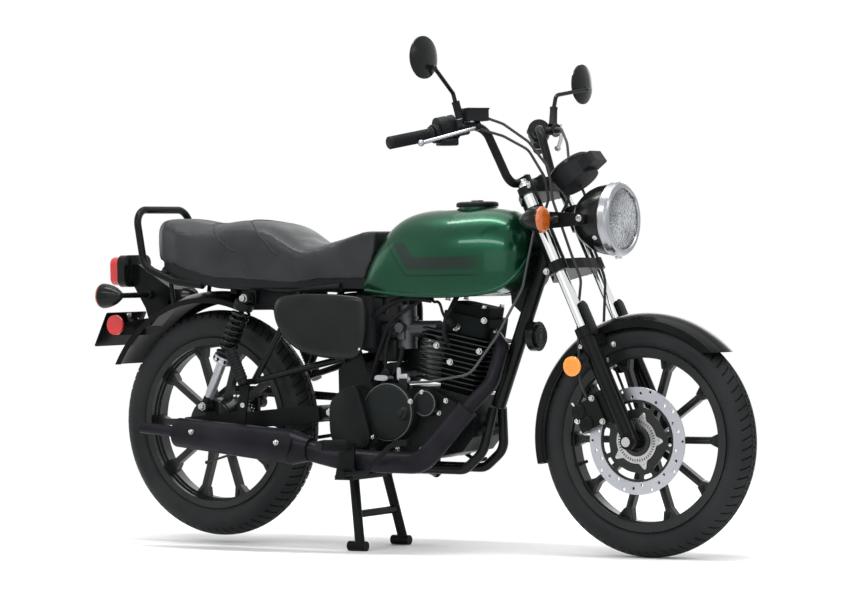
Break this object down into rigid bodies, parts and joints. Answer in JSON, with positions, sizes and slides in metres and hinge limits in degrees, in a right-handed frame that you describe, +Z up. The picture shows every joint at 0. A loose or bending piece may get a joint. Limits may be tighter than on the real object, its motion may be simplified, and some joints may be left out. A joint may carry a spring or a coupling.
{
  "type": "classic motorcycle",
  "caption": "Classic roadster motorcycle on its centre stand, with turning wheels, a steering fork and folding stands.",
  "frame": {"origin": "on the floor under the middle of the machine's bounding box", "axes": "+X points forward, +Y to the rider's left, +Z up"},
  "size_m": [1.981, 0.8753, 1.31],
  "materials": {
    "green_paint": "metallic lacquer",
    "black_paint": "gloss black enamel",
    "satin_black": "satin heat-resistant black",
    "chrome": "polished",
    "bare_steel": "brushed",
    "aluminium": "cast, lightly polished",
    "engine_black": "black-coated casting",
    "tyre_rubber": "matt with moulded tread",
    "rubber": "matt",
    "black_plastic": "matt moulded",
    "gloss_plastic": "gloss moulded",
    "seat_cover": "grained black vinyl",
    "clear_lens": "clear, ribbed inside",
    "red_lens": "red, ribbed inside"
  },
  "bodies": {
    "chassis": {"frame_main": "black_paint", "frame_cradle": "black_paint", "frame_rear": "black_paint", "swingarm": "black_paint", "rear_axle": "bare_steel", "shock_absorbers": "black_paint", "chain": "bare_steel", "chain_guard": "black_paint", "crankcase": "engine_black", "engine_cylinder": "engine_black", "engine_covers": "engine_black", "carburettor": "aluminium", "air_box": "black_plastic", "exhaust_pipe": "satin_black", "muffler": "satin_black", "fuel_tank": "green_paint", "fuel_cap": "chrome", "seat": "seat_cover", "side_covers": "gloss_plastic", "rear_fender": "gloss_plastic", "tail_light": "black_plastic", "tail_lens": "red_lens", "rear_signals": "black_plastic", "grab_rail": "black_paint", "footpegs": "black_paint", "rear_brake": "aluminium", "foot_controls": "black_paint", "horn": "black_paint", "chassis_cables": "rubber"},
    "steering": {"fork_stanchions": "chrome", "fork_sliders": "black_paint", "front_axle": "bare_steel", "fork_clamps": "black_paint", "handlebar": "black_paint", "grips": "rubber", "controls": "black_plastic", "levers": "aluminium", "mirrors": "black_plastic", "headlight_shell": "gloss_plastic", "headlight_ring": "chrome", "headlight_lens": "clear_lens", "gauge": "black_plastic", "front_signals": "black_plastic", "front_fender": "gloss_plastic", "brake_caliper": "aluminium", "front_hoses": "rubber"},
    "front_wheel": {"front_tyre": "tyre_rubber", "front_rim": "black_paint", "brake_disc": "bare_steel"},
    "rear_wheel": {"rear_tyre": "tyre_rubber", "rear_rim": "black_paint", "rear_sprocket": "bare_steel"},
    "centre_stand": {"centre_stand": "black_paint"},
    "side_stand": {"side_stand": "black_paint"}
  },
  "joints": [
    {"name": "steering", "type": "hinge", "parent": "chassis", "child": "steering", "pos_m": [0.43916, 0, 0.73025], "axis": [-0.4147, 0, 0.91], "range_deg": [-38, 38]},
    {"name": "front_wheel_spin", "type": "hinge", "parent": "steering", "child": "front_wheel", "pos_m": [0.692, 0, 0.296], "axis": [0, 1, 0], "continuous": true},
    {"name": "rear_wheel_spin", "type": "hinge", "parent": "chassis", "child": "rear_wheel", "pos_m": [-0.628, 0, 0.326], "axis": [0, 1, 0], "continuous": true},
    {"name": "centre_stand_swing", "type": "hinge", "parent": "chassis", "child": "centre_stand", "pos_m": [-0.15, 0, 0.205], "axis": [0, 1, 0], "range_deg": [0, 80]},
    {"name": "side_stand_swing", "type": "hinge", "parent": "chassis", "child": "side_stand", "pos_m": [-0.03, 0.141, 0.196], "axis": [0, -0.9272, -0.3746], "range_deg": [0, 100]}
  ]
}
